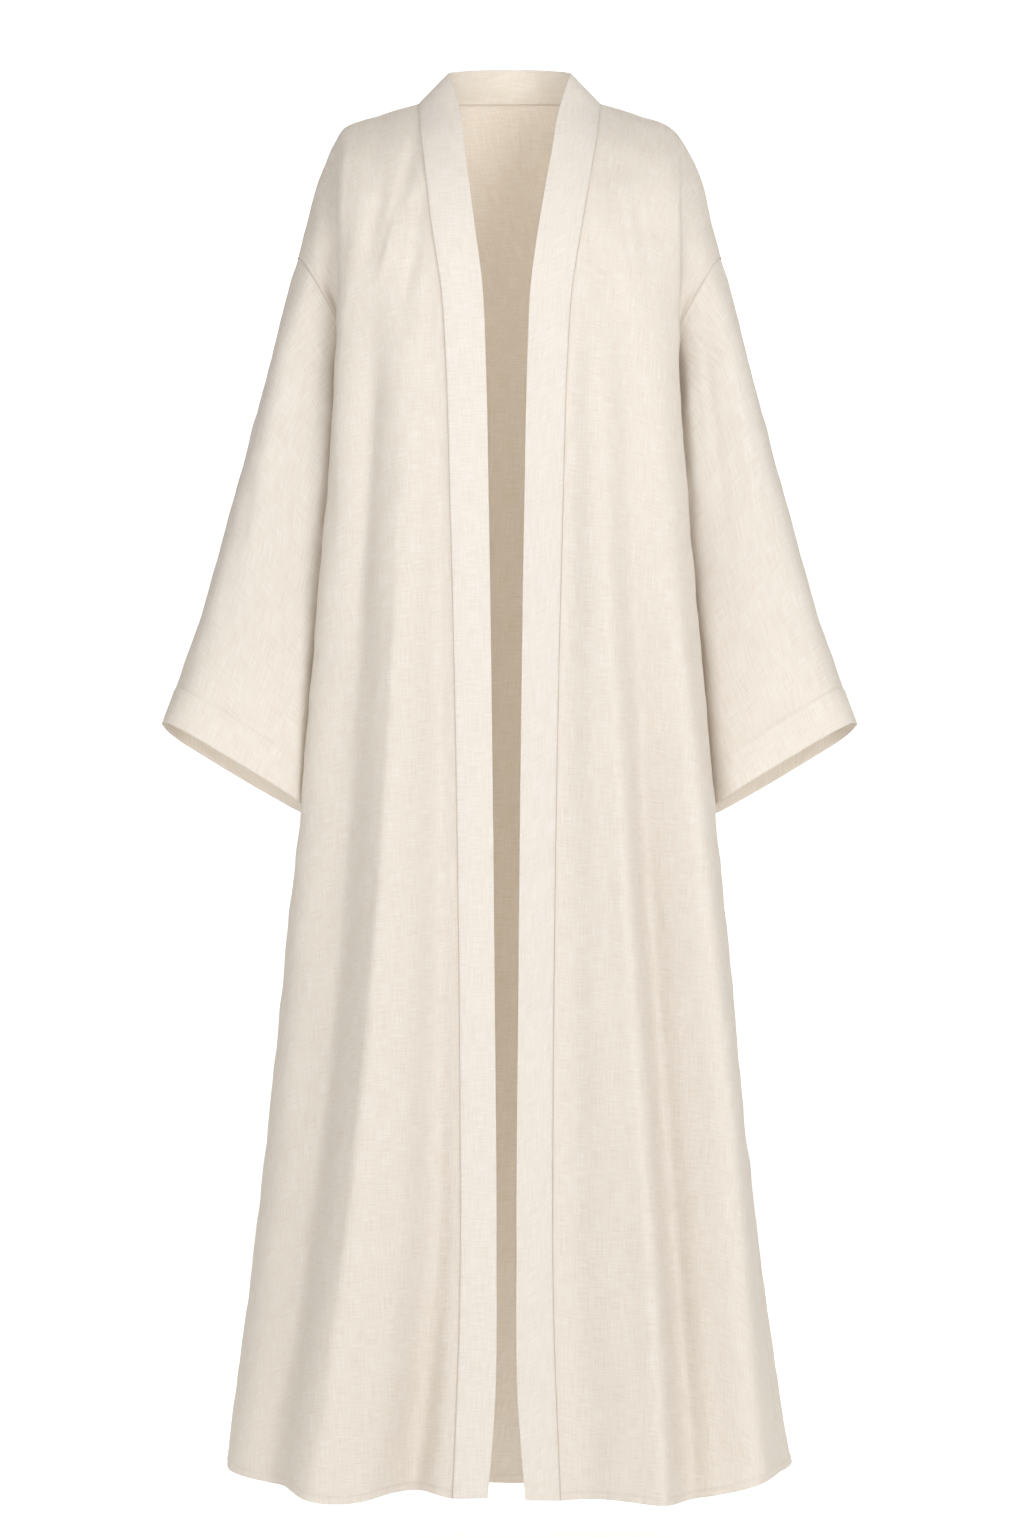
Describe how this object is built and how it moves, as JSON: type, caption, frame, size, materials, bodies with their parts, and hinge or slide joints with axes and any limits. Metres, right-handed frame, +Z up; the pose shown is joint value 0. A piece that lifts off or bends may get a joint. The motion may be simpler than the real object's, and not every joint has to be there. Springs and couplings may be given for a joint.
{
  "type": "abaya cloak",
  "caption": "Open-front full-length linen cloak with a narrow neckband running down both fronts, dropped shoulders and wide flared sleeves, shaped as worn and hollow.",
  "frame": {"origin": "middle of the neck at shoulder height, halfway between the two high shoulder points, where a wearer's shoulders or a hanger hold the cloak up", "axes": "+Z up along the cloak's length, front opening faces -Y, +X to the right as seen from the front"},
  "size_m": [0.7018, 0.3814, 1.4648],
  "materials": {
    "linen": "matt plain-weave linen",
    "linen_band": "matt plain-weave linen, double"
  },
  "bodies": {
    "root": {"back": "linen", "front_left": "linen", "front_right": "linen", "neckband": "linen_band", "sleeve_left": "linen", "sleeve_right": "linen"}
  },
  "joints": []
}
